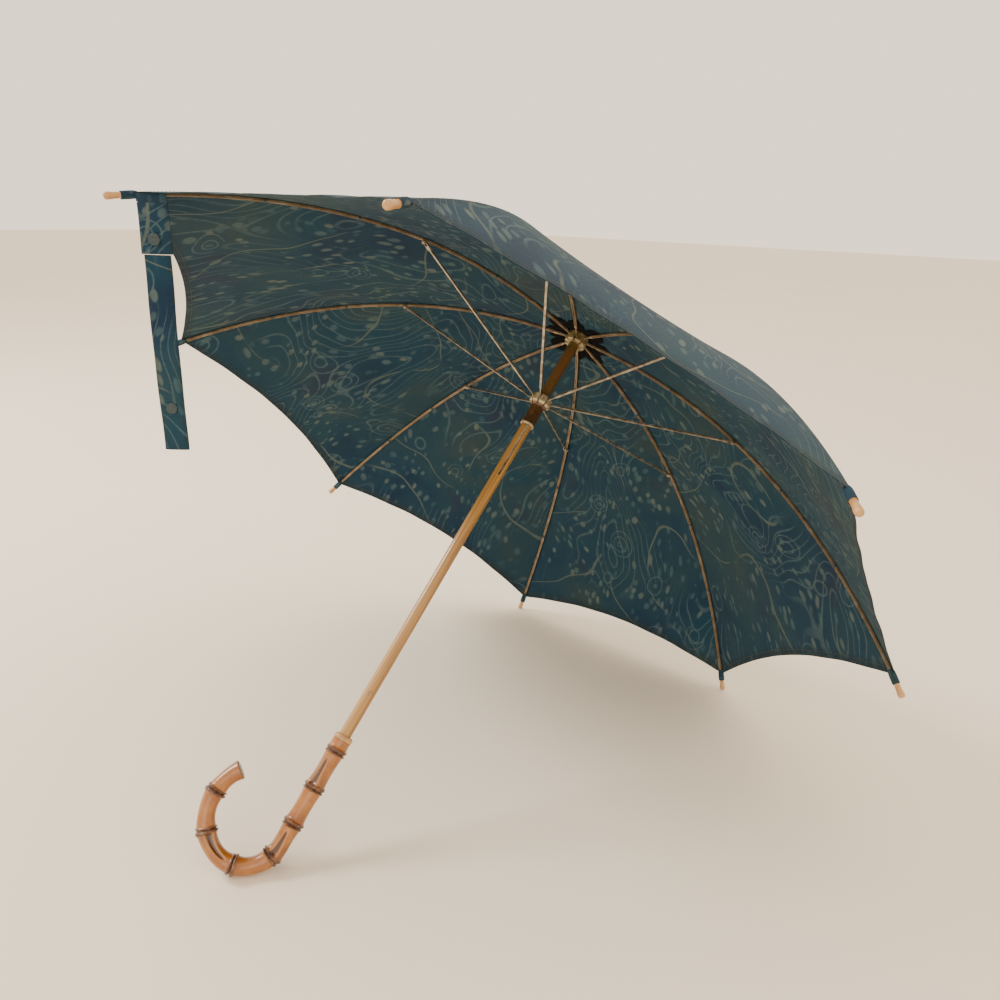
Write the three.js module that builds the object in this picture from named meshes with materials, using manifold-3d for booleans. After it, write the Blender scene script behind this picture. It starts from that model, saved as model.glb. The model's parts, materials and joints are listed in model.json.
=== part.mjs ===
// A fabric parasol with eight curved metal ribs, a wooden shaft and a bamboo crook handle.
// It stands open on two rib tips and the bottom of its crook, as it is put down to dry.
// Units are millimetres and degrees. The umbrella is built upright, with the shaft along +Z, the hub pivots at
// height 0 and the side that meets the floor towards +X, and is then tilted until tips and crook touch the floor.
import * as THREE from "three";
import { mergeVertices } from "three/addons/utils/BufferGeometryUtils.js";
import Module from "manifold-3d";

const wasm = await Module();
wasm.setup();

// ---------------------------------------------------------------- driving dimensions
const ribCount = 8;
const gap = 0.3; // between pieces that touch
const slack = 0.35; // between pieces that slide or turn on each other

// frame, open
const tipRadius = 430; // from the shaft's axis to the end of a rib tip
const tipDrop = 211; // from the hub pivots down to the end of a rib tip
const ribRootSlope = 2; // how steeply a rib leaves the hub
const ribTipSlope = 47.6; // how steeply it ends
const jointRadius = 200; // from the axis to the rivet between rib and stretcher

// ribs, stretchers and rivets
const ribWidth = 2.8;
const ribHeight = 2.4;
const ribStepLength = 28.5; // straight lengths that make up the curve, at most
const ribWeb = 1; // roof of the channel that is folded into the rib
const ribFlange = 0.5; // its two sides
const bladeThickness = 1.2; // flattened ends that run in slots
const eyeRadius = 1.35;
const stretcherWidth = 2.4;
const stretcherHeight = 2;
const bladeLength = 15;
const rivetRadius = 0.7;
const rivetHeadRadius = 1.4;
const rivetHeadHeight = 0.6;
const lugRadius = 2.2; // crimped eye under the rib that holds the rivet
const cheekThickness = 0.7; // fork of the stretcher, each side of the rib
const forkLength = 5;

// shaft and handle
const shaftRadius = 5.8;
const shaftLength = 483; // hub pivots to the top of the handle
const shaftTenon = 26; // length glued into the handle
const handleRadius = 8.8;
const handleEndRadius = 8.4;
const knotRise = 1.8; // how far a bamboo knot stands proud
const knotWidth = 5;
const knotStations = [11, 48, 83, 115, 150, 190, 225]; // along the handle, from its top
const handleStraight = 103;
const crookBends = [
  { radius: 34, angle: 112 },
  { radius: 45, angle: 105 },
];
const crookAzimuth = 132; // which way the crook points, from the floor side
const collarHeight = 5;
const collarWall = 2.4;

// notch, wire and runner
const pivotRadius = 9.8; // circle of the hub and runner pivots
const notchRadius = 12;
const notchBelow = 7; // below the pivots
const notchAbove = 4.6; // above them
const notchRoof = 2.4; // unslotted top of the notch
const wireRadius = 0.45;
const bladeSlot = 2; // width of the slots in notch and runner
const slotFloorRadius = 7.8; // how deep they are cut
const runnerCrownRadius = 11.75;
const runnerCrownAbove = 4.6;
const runnerCrownBelow = 4.6;
const runnerTubeRadius = 7.2;
const runnerCollarRadius = 7.7;
const runnerCollarHeight = 7;
const runnerLength = 37; // crown top to collar bottom

// catch, stop pin
const catchAzimuth = -135; // between two ribs
const catchSlotWidth = 2.2;
const catchSlotDepth = 8.4;
const catchLength = 62;
const catchThickness = 1.5;
const catchInset = 4.4; // shaft's surface to the back of the spring
const catchReach = 2; // how far its tooth stands out of the shaft
const catchToothHeight = 9;
const stopPinDrop = 434; // below the hub pivots
const stopPinRadius = 1.3;
const stopPinReach = 1.2;

// canopy, rosette, crown washer and ferrule
const clothThickness = 0.8;
const canopyRowLength = 38.3; // mean length of the flats that make up a gore, at most
const canopyLift = 1.5; // underside of the canopy above the top of a rib
const crownHoleRadius = 7;
const scallop = 15; // how far the hem draws in between two tips
const hemInset = 1.2; // hem end to the rib tip
const rosetteRadius = 34;
const rosetteThickness = 0.6;
const crownRampStart = 13; // where canopy and rosette start to climb down from the notch
const crownRampEnd = 24;
const washerRadius = 11;
const washerThickness = 2;
const ferruleLength = 46;
const ferruleRootRadius = 8.6;
const ferruleEndRadius = 5.4;
const capLength = 11;
const capWall = 0.9;

// rib tips
const tipLength = 22;
const tipRootRadius = 3.2;
const tipNeckRadius = 2.7;
const tipEndRadius = 3.1;
const tipSocketDepth = 9;

// tie strap and snap
const strapAzimuth = 1.9; // from rib 1 towards rib 8, along the hem
const strapTwist = 40; // turns its face from the shaft towards the handle's side
const strapTabHeight = 7; // stitched to the hem
const strapLoopWidth = 25;
const strapLoopLength = 40;
const strapLoopThickness = 2.4;
const strapTailWidth = 22;
const strapTailLength = 166;
const strapTailThickness = 1.2;
const strapSwingGap = 0.6; // lets the tail's square end turn clear of the loop
const snapDrop = 128; // from the top of the tail
const snapRadius = 5;
const snapThickness = 1.6;

// ---------------------------------------------------------------- helpers
const rad = THREE.MathUtils.degToRad;
const sector = 360 / ribCount;
const halfSector = sector / 2;

const finishes = {
  cloth: { color: 0x24485a, roughness: 0.8, metalness: 0 },
  darkCloth: { color: 0x16181a, roughness: 0.9, metalness: 0 },
  bronze: { color: 0x7d6a52, roughness: 0.4, metalness: 0.8 },
  steel: { color: 0x9a958c, roughness: 0.3, metalness: 0.9 },
  paleWood: { color: 0xc79a63, roughness: 0.5, metalness: 0 },
  honeyWood: { color: 0xb98a45, roughness: 0.35, metalness: 0 },
  bamboo: { color: 0xb06a26, roughness: 0.3, metalness: 0 },
  brass: { color: 0xa8864c, roughness: 0.4, metalness: 0.6 },
};

function piece(name, geometry, finish) {
  const mesh = new THREE.Mesh(geometry, new THREE.MeshStandardMaterial(finishes[finish]));
  mesh.name = name;
  return mesh;
}

// A closed geometry as a manifold solid, and back again.
function solid(geometry) {
  const bare = geometry.clone();
  bare.deleteAttribute("normal");
  bare.deleteAttribute("uv");
  const merged = mergeVertices(bare, 1e-4);
  return new wasm.Manifold(
    new wasm.Mesh({
      numProp: 3,
      vertProperties: new Float32Array(merged.attributes.position.array),
      triVerts: new Uint32Array(merged.index.array),
    }),
  );
}

function shell(manifold) {
  const mesh = manifold.getMesh();
  const geometry = new THREE.BufferGeometry();
  geometry.setAttribute("position", new THREE.BufferAttribute(mesh.vertProperties, 3));
  geometry.setIndex(new THREE.BufferAttribute(mesh.triVerts, 1));
  geometry.computeVertexNormals();
  return geometry;
}

// A base piece with others joined to it, and then others cut from it.
function carve(base, joins, cuts) {
  let result = solid(base);
  for (const join of joins) result = result.add(solid(join));
  for (const cut of cuts) result = result.subtract(solid(cut));
  return shell(result);
}

// A geometry whose points are moved by a rule.
function warp(geometry, rule) {
  const at = geometry.attributes.position;
  for (let i = 0; i < at.count; i++) {
    at.setXYZ(i, ...rule(at.getX(i), at.getY(i), at.getZ(i)));
  }
  geometry.computeVertexNormals();
  return geometry;
}

// A shape drawn in the radial plane (x outwards, y up), given a width across it.
function plate(shape, width) {
  const geometry = new THREE.ExtrudeGeometry(shape, { depth: width, bevelEnabled: false, curveSegments: 5 });
  return geometry.translate(0, 0, -width / 2).rotateX(Math.PI / 2);
}

// A round bar across the radial plane at (x, z).
function crossBar(x, z, radius, width, sides = 10) {
  return new THREE.CylinderGeometry(radius, radius, width, sides).translate(x, 0, z);
}

// A solid of revolution about Z from points [radius, height], given from the bottom up on the outside.
function turned(points, sides) {
  const profile = points.map(([r, z]) => new THREE.Vector2(r, z));
  return new THREE.LatheGeometry(profile, sides).rotateX(Math.PI / 2);
}

// The same, with a bore: the profile closes on itself.
function turnedRing(points, bore, sides) {
  const bottom = points[0][1];
  const top = points.at(-1)[1];
  return turned([[bore, bottom], ...points, [bore, top], [bore, bottom]], sides);
}

// ---------------------------------------------------------------- rib curve
// A rib's centre line in its radial plane: a cubic from the hub pivot to the end of its tip.
function ribPoint(radius) {
  const run = tipRadius - pivotRadius;
  const u = (radius - pivotRadius) / run;
  const start = Math.tan(rad(ribRootSlope)) * run;
  const end = Math.tan(rad(ribTipSlope)) * run;
  const drop =
    (u ** 3 - 2 * u ** 2 + u) * start + (3 * u ** 2 - 2 * u ** 3) * tipDrop + (u ** 3 - u ** 2) * end;
  const fall =
    ((3 * u ** 2 - 4 * u + 1) * start + 6 * (u - u ** 2) * tipDrop + (3 * u ** 2 - 2 * u) * end) / run;
  return { x: radius, z: -drop, slope: Math.atan(fall) };
}

// The point that stands a height above the centre line, square to it.
function aboveRib(radius, height) {
  const p = ribPoint(radius);
  return new THREE.Vector2(p.x + height * Math.sin(p.slope), p.z + height * Math.cos(p.slope));
}

// A band that follows the centre line between two radii, from one height above it to another.
function ribBand(from, to, low, high, steps) {
  const radii = Array.from({ length: steps + 1 }, (_, i) => from + ((to - from) * i) / steps);
  const under = radii.map((r) => aboveRib(r, low));
  const over = radii.map((r) => aboveRib(r, high)).reverse();
  return new THREE.Shape([...under, ...over]);
}

const tipEnd = ribPoint(tipRadius);
const tipStartRadius = tipRadius - tipLength * Math.cos(tipEnd.slope);
const ribEndRadius = tipStartRadius + (tipSocketDepth - gap) * Math.cos(tipEnd.slope);

// The rivet sits in a lug just under the rib; the runner's pivots mirror the hub's about it.
const rivetDepth = ribHeight / 2 + 0.6;
const rivet = aboveRib(jointRadius, -rivetDepth);
const runnerDrop = -2 * rivet.y; // hub pivots to runner pivots, open
const linkLength = Math.hypot(rivet.x - pivotRadius, rivet.y);
const linkAngle = Math.atan2(-rivet.y, rivet.x - pivotRadius);

// ---------------------------------------------------------------- ribs, stretchers, rivets and tips
function ribGeometry() {
  const bladeEnd = pivotRadius + bladeLength;
  const barSteps = Math.ceil((ribEndRadius - bladeEnd) / ribStepLength);
  const bar = plate(ribBand(bladeEnd, ribEndRadius, -ribHeight / 2, ribHeight / 2, barSteps), ribWidth);
  const blade = plate(ribBand(pivotRadius, bladeEnd + 3, -eyeRadius * 0.8, eyeRadius * 0.8, 2), bladeThickness);
  const eye = crossBar(pivotRadius, 0, eyeRadius, bladeThickness);
  const lug = crossBar(rivet.x, rivet.y, lugRadius, ribWidth);
  const channelWidth = ribWidth - 2 * ribFlange;
  const channelTop = ribHeight / 2 - ribWeb;
  const channel = (from, to, steps) => plate(ribBand(from, to, -ribHeight, channelTop, steps), channelWidth);
  const lugClear = lugRadius + 2;
  return carve(
    bar,
    [blade, eye, lug],
    [
      channel(bladeEnd + 4, jointRadius - lugClear, 5),
      channel(jointRadius + lugClear, ribEndRadius - 4, 8),
      crossBar(pivotRadius, 0, wireRadius + slack, ribWidth, 8),
      crossBar(rivet.x, rivet.y, rivetRadius + slack, 2 * ribWidth, 8),
    ],
  ).translate(-pivotRadius, 0, 0);
}

// The stretcher lies along -X from its rivet at the origin, and is turned to its slope by its mesh.
function stretcherGeometry() {
  const forkInner = ribWidth + 2 * slack;
  const forkOuter = forkInner + 2 * cheekThickness;
  const bandFrom = (near, far, height) =>
    new THREE.Shape([
      new THREE.Vector2(-far, -height / 2),
      new THREE.Vector2(-near, -height / 2),
      new THREE.Vector2(-near, height / 2),
      new THREE.Vector2(-far, height / 2),
    ]);
  const bar = plate(bandFrom(forkLength, linkLength - bladeLength, stretcherHeight), stretcherWidth);
  const fork = plate(bandFrom(0, forkLength + 5, stretcherHeight), forkOuter);
  const blade = plate(bandFrom(linkLength - bladeLength - 3, linkLength, stretcherHeight * 0.9), bladeThickness);
  const cleft = plate(bandFrom(-2 * lugRadius, forkLength, 4 * lugRadius), forkInner);
  return carve(
    fork,
    [crossBar(0, 0, lugRadius, forkOuter), bar, blade, crossBar(-linkLength, 0, eyeRadius, bladeThickness)],
    [cleft, crossBar(0, 0, rivetRadius + slack, 2 * forkOuter, 8)],
  );
}

function rivetGeometry() {
  const span = ribWidth / 2 + slack + cheekThickness + gap;
  const half = [
    [rivetHeadRadius, -span - rivetHeadHeight],
    [rivetHeadRadius, -span],
    [rivetRadius, -span],
    [rivetRadius, span],
    [rivetHeadRadius, span],
    [rivetHeadRadius, span + rivetHeadHeight],
  ];
  const profile = [[0, -span - rivetHeadHeight], ...half, [0, span + rivetHeadHeight]];
  return turned(profile, 8).rotateX(Math.PI / 2);
}

function tipGeometry() {
  const bore = Math.hypot(ribWidth, ribHeight) / 2 + 2 * gap;
  const outside = [
    [tipRootRadius, 0],
    [tipRootRadius, tipSocketDepth],
    [tipNeckRadius, tipSocketDepth + 2],
    [tipNeckRadius, tipLength - 8],
    [tipEndRadius, tipLength - 5],
    [tipEndRadius, tipLength - 1.5],
    [tipEndRadius - 1, tipLength],
    [0, tipLength],
  ];
  return turned([[0, tipSocketDepth], [bore, tipSocketDepth], [bore, 0], ...outside], 10).rotateY(Math.PI / 2);
}

// ---------------------------------------------------------------- canopy and rosette
const clothLow = ribHeight / 2 + canopyLift;
const crownRise = notchAbove + gap - ribHeight / 2 - gap; // lifts the cloth over the notch

function crownLift(radius) {
  return crownRise * (1 - THREE.MathUtils.smoothstep(radius, crownRampStart, crownRampEnd));
}

// A gore is straight from rib to rib, so it lies nearer the axis between them.
function goreShrink(azimuth) {
  return Math.cos(rad(halfSector)) / Math.cos(rad(Math.abs(azimuth) - halfSector));
}

function hemRadius(azimuth) {
  const toRib = 1 - Math.abs(azimuth) / halfSector;
  return tipStartRadius - hemInset - scallop * (1 - toRib ** 2);
}

// A point of the canopy: azimuth from its rib, share of the way from the crown to the hem, height in the cloth.
function canopyPoint(azimuth, share, depth) {
  const radius = crownHoleRadius + share * (hemRadius(azimuth) - crownHoleRadius);
  const p = aboveRib(radius, clothLow + depth * clothThickness);
  return { radius: p.x * goreShrink(azimuth), z: p.y + crownLift(radius) };
}

function canopyGeometry() {
  const crowding = 1.7; // draws the rows together towards the crown
  const rows = Math.ceil((tipRadius - pivotRadius) / canopyRowLength);
  const box = new THREE.BoxGeometry(1, 1, 1, rows, 4, 1);
  return warp(box, (x, y, z) => {
    const azimuth = 2 * y * halfSector;
    const p = canopyPoint(azimuth, (x + 0.5) ** crowding, z + 0.5);
    const edge = (2 * y * gap) / 2 / Math.cos(rad(azimuth));
    const turn = rad(azimuth) - Math.asin(edge / p.radius);
    return [p.radius * Math.cos(turn), p.radius * Math.sin(turn), p.z];
  }).translate(-pivotRadius, 0, 0);
}

function rosetteGeometry() {
  const low = ribHeight / 2 + gap;
  const radii = [crownHoleRadius - gap, crownRampStart, 18, crownRampEnd, rosetteRadius];
  const at = (height) => radii.map((r) => [r, aboveRib(r, height).y + crownLift(r)]);
  const under = at(low);
  const over = at(low + rosetteThickness).reverse();
  const disc = turned([...under, ...over, under[0]], 4 * ribCount);
  return warp(disc, (x, y, z) => {
    const azimuth = THREE.MathUtils.radToDeg(Math.atan2(y, x));
    const shrink = goreShrink(THREE.MathUtils.euclideanModulo(azimuth, sector) - halfSector);
    return [x * shrink, y * shrink, z];
  });
}

// ---------------------------------------------------------------- notch, wire, washer and ferrule
function slots(bottom, top) {
  const depth = 2 * notchRadius - slotFloorRadius;
  return Array.from({ length: ribCount }, (_, i) =>
    new THREE.BoxGeometry(depth, bladeSlot, top - bottom)
      .translate(slotFloorRadius + depth / 2, 0, (top + bottom) / 2)
      .rotateZ(rad(halfSector + i * sector)),
  );
}

function notchGeometry() {
  const edge = 0.8;
  const outside = [
    [notchRadius - edge, -notchBelow],
    [notchRadius, edge - notchBelow],
    [notchRadius, notchAbove - edge],
    [notchRadius - edge, notchAbove],
  ];
  const wireHole = new THREE.TorusGeometry(pivotRadius, wireRadius + slack, 6, 24);
  const cuts = slots(-notchBelow - 1, notchAbove - notchRoof);
  return carve(turnedRing(outside, shaftRadius + gap, 32), [], [...cuts, wireHole]);
}

const washerBottom = clothLow + crownRise + clothThickness + gap;
const ferruleBottom = washerBottom + washerThickness + gap;
const ferruleTop = ferruleBottom + ferruleLength;
const shaftTop = ferruleTop - capLength - 4;

function ferruleGeometry() {
  const bore = shaftRadius + gap;
  const capSeat = ferruleTop - capLength;
  const outside = [
    [ferruleRootRadius - 0.8, ferruleBottom],
    [ferruleRootRadius, ferruleBottom + 2],
    [ferruleRootRadius - 0.4, ferruleBottom + 10],
    [ferruleEndRadius + capWall + gap, capSeat - gap],
    [ferruleEndRadius, capSeat - gap],
    [ferruleEndRadius, ferruleTop - capWall - gap],
    [0, ferruleTop - capWall - gap],
  ];
  const boreTop = shaftTop + gap;
  return turned([[0, boreTop], [bore, boreTop], [bore, ferruleBottom], ...outside], 24);
}

function capGeometry() {
  const seat = ferruleTop - capLength;
  const inner = ferruleEndRadius + gap;
  const outer = inner + capWall;
  const roof = ferruleTop - capWall;
  const outside = [
    [outer, seat],
    [outer, ferruleTop - 1],
    [outer - 1, ferruleTop],
    [0, ferruleTop],
  ];
  return turned([[0, roof], [inner, roof], [inner, seat], ...outside], 24);
}

// ---------------------------------------------------------------- runner, catch and stop pin
// The runner's origin is its circle of pivots.
function runnerGeometry() {
  const edge = 0.8;
  const bottom = runnerCrownAbove - runnerLength;
  const outside = [
    [runnerCollarRadius - 0.5, bottom],
    [runnerCollarRadius, bottom + 1],
    [runnerCollarRadius, bottom + runnerCollarHeight],
    [runnerTubeRadius, bottom + runnerCollarHeight + 1],
    [runnerTubeRadius, -runnerCrownBelow - 3],
    [runnerCrownRadius - edge, -runnerCrownBelow],
    [runnerCrownRadius, edge - runnerCrownBelow],
    [runnerCrownRadius, runnerCrownAbove - edge],
    [runnerCrownRadius - edge, runnerCrownAbove],
  ];
  const cuts = slots(bottom - 1, runnerCrownAbove + 1);
  return carve(turnedRing(outside, shaftRadius + slack, 32), [], cuts);
}

const runnerBottom = runnerDrop + runnerLength - runnerCrownAbove; // below the hub pivots
const catchTop = runnerBottom + gap;

// The catch is a flat spring in a slot of the shaft, fixed at its low end, with a tooth under the runner.
const catchBack = shaftRadius - catchInset;

function catchGeometry() {
  const back = catchBack;
  const front = back + catchThickness;
  const reach = shaftRadius + catchReach;
  const outline = [
    [back, 0],
    [front, 0],
    [front, catchLength - catchToothHeight],
    [reach, catchLength - 1.5],
    [reach, catchLength],
    [back, catchLength],
  ];
  const width = catchSlotWidth - 2 * gap;
  return plate(new THREE.Shape(outline.map(([x, z]) => new THREE.Vector2(x - back, z))), width);
}

function shaftGeometry() {
  const sides = 24;
  const bottom = -shaftLength - shaftTenon;
  const rod = turned([[0, bottom], [shaftRadius, bottom], [shaftRadius, shaftTop], [0, shaftTop]], sides);
  const slotLength = catchLength + 4;
  const slot = new THREE.BoxGeometry(catchSlotDepth, catchSlotWidth, slotLength)
    .translate(shaftRadius + 1 - catchSlotDepth / 2, 0, -catchTop + 2 - slotLength / 2)
    .rotateZ(rad(catchAzimuth));
  const pinHole = new THREE.CylinderGeometry(stopPinRadius + gap, stopPinRadius + gap, shaftRadius, 12)
    .rotateZ(Math.PI / 2)
    .translate(shaftRadius, 0, -stopPinDrop)
    .rotateZ(rad(catchAzimuth));
  return carve(rod, [], [slot, pinHole]);
}

function stopPinGeometry() {
  const inner = shaftRadius / 2 + gap;
  const outer = shaftRadius + stopPinReach;
  return new THREE.CylinderGeometry(stopPinRadius, stopPinRadius, outer - inner, 12)
    .rotateZ(Math.PI / 2)
    .translate((inner + outer) / 2, 0, 0);
}

// ---------------------------------------------------------------- handle
// The handle's centre line in its own plane: straight down, then round the bends in turn.
function handlePoint(distance) {
  let x = 0;
  let z = 0;
  let heading = 0; // from straight down
  let left = distance;
  const straight = Math.min(left, handleStraight);
  z -= straight;
  left -= straight;
  for (const bend of crookBends) {
    const turn = Math.min(left / bend.radius, rad(bend.angle));
    x += bend.radius * (Math.cos(heading) - Math.cos(heading + turn));
    z -= bend.radius * (Math.sin(heading + turn) - Math.sin(heading));
    heading += turn;
    left -= turn * bend.radius;
  }
  return { x, z, heading };
}

const handleLength = crookBends.reduce((sum, b) => sum + b.radius * rad(b.angle), handleStraight);

function handleRadiusAt(distance) {
  const taper = THREE.MathUtils.lerp(handleRadius, handleEndRadius, distance / handleLength);
  const knot = knotStations.reduce(
    (most, s) => Math.max(most, 1 - Math.abs(distance - s) / knotWidth),
    0,
  );
  return taper + knotRise * Math.min(1, 1.6 * knot);
}

// Stations close together at the knots and further apart between them.
function handleStations() {
  const stations = new Set([0, handleLength]);
  for (const s of knotStations) {
    for (const offset of [-knotWidth, -0.4 * knotWidth, 0.4 * knotWidth, knotWidth]) stations.add(s + offset);
  }
  for (let s = handleStraight; s < handleLength; s += 9) {
    if (knotStations.every((k) => Math.abs(k - s) > 1.5 * knotWidth)) stations.add(s);
  }
  return [...stations].filter((s) => s >= 0 && s <= handleLength).sort((a, b) => a - b);
}

function handleGeometry() {
  const stations = handleStations();
  const steps = stations.length - 1;
  const rod = new THREE.CylinderGeometry(1, 1, 1, 14, steps).rotateX(Math.PI / 2); // along Z, 0.5 at its top
  const swept = warp(rod, (x, y, z) => {
    const distance = stations[Math.round((0.5 - z) * steps)];
    const { x: px, z: pz, heading } = handlePoint(distance);
    const radius = handleRadiusAt(distance);
    const side = x * radius; // in the crook's plane, square to the centre line
    return [px + side * Math.cos(heading), y * radius, pz + side * Math.sin(heading)];
  });
  const boreRadius = shaftRadius + gap;
  const boreDepth = shaftTenon + gap;
  const bore = new THREE.CylinderGeometry(boreRadius, boreRadius, boreDepth + 2, 24)
    .rotateX(Math.PI / 2)
    .translate(0, 0, 1 - boreDepth / 2);
  return carve(swept, [], [bore]);
}

function collarGeometry() {
  const outer = shaftRadius + gap + collarWall;
  const outside = [
    [outer, gap],
    [outer, collarHeight - 1],
    [outer - 1, collarHeight],
  ];
  return turnedRing(outside, shaftRadius + gap, 24);
}

// ---------------------------------------------------------------- the umbrella, upright
const umbrella = new THREE.Group();

function place(mesh, z, azimuth = 0) {
  mesh.position.z = z;
  mesh.rotation.z = rad(azimuth);
  umbrella.add(mesh);
  return mesh;
}

place(piece("shaft", shaftGeometry(), "honeyWood"), 0);
const handle = place(piece("handle", handleGeometry(), "bamboo"), -shaftLength, crookAzimuth);
place(piece("handle_collar", collarGeometry(), "paleWood"), -shaftLength);
place(piece("notch", notchGeometry(), "brass"), 0);
place(piece("notch_wire", new THREE.TorusGeometry(pivotRadius, wireRadius, 6, 24), "steel"), 0);
place(piece("rosette", rosetteGeometry(), "darkCloth"), 0);
const washerOutside = [
  [washerRadius, washerBottom],
  [washerRadius, washerBottom + washerThickness - 0.6],
  [washerRadius - 0.6, washerBottom + washerThickness],
];
place(piece("crown_washer", turnedRing(washerOutside, shaftRadius + gap, 24), "darkCloth"), 0);
place(piece("ferrule", ferruleGeometry(), "honeyWood"), 0);
place(piece("ferrule_cap", capGeometry(), "brass"), 0);
place(piece("runner", runnerGeometry(), "brass"), -runnerDrop);

const catchMesh = place(piece("upper_catch", catchGeometry(), "steel"), -catchTop - catchLength, catchAzimuth);
catchMesh.position.x = catchBack * Math.cos(rad(catchAzimuth));
catchMesh.position.y = catchBack * Math.sin(rad(catchAzimuth));
place(piece("stop_pin", stopPinGeometry(), "steel"), -stopPinDrop, catchAzimuth);

// Ribs 4 and 5 stand on the floor, one each side of +X. Rib 1 carries the strap.
const ribShape = ribGeometry();
const stretcherShape = stretcherGeometry();
const rivetShape = rivetGeometry();
const tipShape = tipGeometry();
const canopyShape = canopyGeometry();
const tips = [];
const ribAzimuth = (i) => (4.5 - i) * sector;

for (let i = 1; i <= ribCount; i++) {
  const plane = new THREE.Group();
  plane.rotation.z = rad(ribAzimuth(i));
  umbrella.add(plane);
  const hinged = new THREE.Group(); // origin on the hub pivot
  hinged.position.x = pivotRadius;
  plane.add(hinged);

  hinged.add(piece(`rib_${i}`, ribShape, "bronze"));
  hinged.add(piece(`canopy_${i}`, canopyShape, "cloth"));
  const tip = piece(`tip_${i}`, tipShape, "paleWood");
  tip.position.set(
    tipEnd.x - tipLength * Math.cos(tipEnd.slope) - pivotRadius,
    0,
    tipEnd.z + tipLength * Math.sin(tipEnd.slope),
  );
  tip.rotation.y = tipEnd.slope;
  hinged.add(tip);
  tips.push(tip);

  const joint = new THREE.Group(); // origin on the rivet
  joint.position.set(rivet.x - pivotRadius, 0, rivet.y);
  hinged.add(joint);
  joint.add(piece(`rivet_${i}`, rivetShape, "steel"));
  const stretcher = piece(`stretcher_${i}`, stretcherShape, "steel");
  stretcher.rotation.y = -linkAngle;
  joint.add(stretcher);
}

// ---------------------------------------------------------------- standing on the floor
// World heights of a mesh's points when the shaft is tilted.
function lowestPoint(mesh, tilt) {
  umbrella.rotation.y = tilt;
  umbrella.updateMatrixWorld(true);
  const point = new THREE.Vector3();
  const at = mesh.geometry.attributes.position;
  let lowest = Infinity;
  for (let i = 0; i < at.count; i++) {
    lowest = Math.min(lowest, point.fromBufferAttribute(at, i).applyMatrix4(mesh.matrixWorld).z);
  }
  return lowest;
}

const standingTip = tips[3];
let upright = rad(20);
let flat = rad(80);
for (let i = 0; i < 40; i++) {
  const middle = (upright + flat) / 2;
  if (lowestPoint(standingTip, middle) < lowestPoint(handle, middle)) flat = middle;
  else upright = middle;
}
const floorHeight = lowestPoint(standingTip, (upright + flat) / 2);

const parasol = new THREE.Group();
parasol.add(umbrella);
umbrella.position.z = -floorHeight;
parasol.updateMatrixWorld(true);

// ---------------------------------------------------------------- tie strap
// It hangs straight down from the hem of the top gore, beside tip 1, twisted away from the hem's line.
const strapTurn = rad(ribAzimuth(1) + strapAzimuth);
const hem = canopyPoint(strapAzimuth, 1, 0);
const hemPoint = new THREE.Vector3(hem.radius * Math.cos(strapTurn), hem.radius * Math.sin(strapTurn), hem.z);
umbrella.localToWorld(hemPoint);

const strap = new THREE.Group();
strap.position.copy(hemPoint).add(new THREE.Vector3(strapLoopThickness, 0, -1));
strap.rotation.z = rad(strapTwist);
parasol.add(strap);

function hanging(width, length, thickness, steps) {
  return new THREE.BoxGeometry(thickness, width, length, 1, 1, steps).translate(0, 0, -length / 2);
}
strap.add(piece("strap_tab", hanging(strapLoopWidth, strapTabHeight, strapLoopThickness, 1), "cloth"));

// The loop folds about its crease on the handle's side, so neither end meets the other.
const crease = new THREE.Group(); // origin on the crease under the tab
crease.position.set(-strapLoopThickness / 2, 0, -strapTabHeight - gap);
strap.add(crease);
const loop = new THREE.Group(); // origin at the middle of the loop's top
loop.position.x = strapLoopThickness / 2;
crease.add(loop);
loop.add(piece("strap_loop", hanging(strapLoopWidth, strapLoopLength, strapLoopThickness, 3), "cloth"));

const tail = new THREE.Group(); // origin where the tail leaves the loop
tail.position.z = -strapLoopLength - strapSwingGap;
loop.add(tail);
tail.add(piece("strap_tail", hanging(strapTailWidth, strapTailLength, strapTailThickness, 8), "cloth"));

// The snap's two halves: the socket near the tail's end, the stud on the loop.
function snap(name, thickness, drop) {
  const disc = new THREE.CylinderGeometry(snapRadius, snapRadius - 0.6, snapThickness, 16).rotateZ(Math.PI / 2);
  return piece(name, disc.translate(-thickness / 2 - gap - snapThickness / 2, 0, -drop), "steel");
}
tail.add(snap("snap_socket", strapTailThickness, snapDrop));
loop.add(snap("snap_stud", strapLoopThickness, strapLoopLength * 0.7));

// ---------------------------------------------------------------- centred over the floor
const box = new THREE.Box3().setFromObject(parasol, true);
const middle = box.getCenter(new THREE.Vector3());
umbrella.position.x -= middle.x;
umbrella.position.y -= middle.y;
strap.position.x -= middle.x;
strap.position.y -= middle.y;
umbrella.position.z -= box.min.z;
strap.position.z -= box.min.z;

export default parasol;
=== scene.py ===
import json
import math

import bmesh
import bpy
from mathutils import Matrix, Vector, noise

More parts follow.
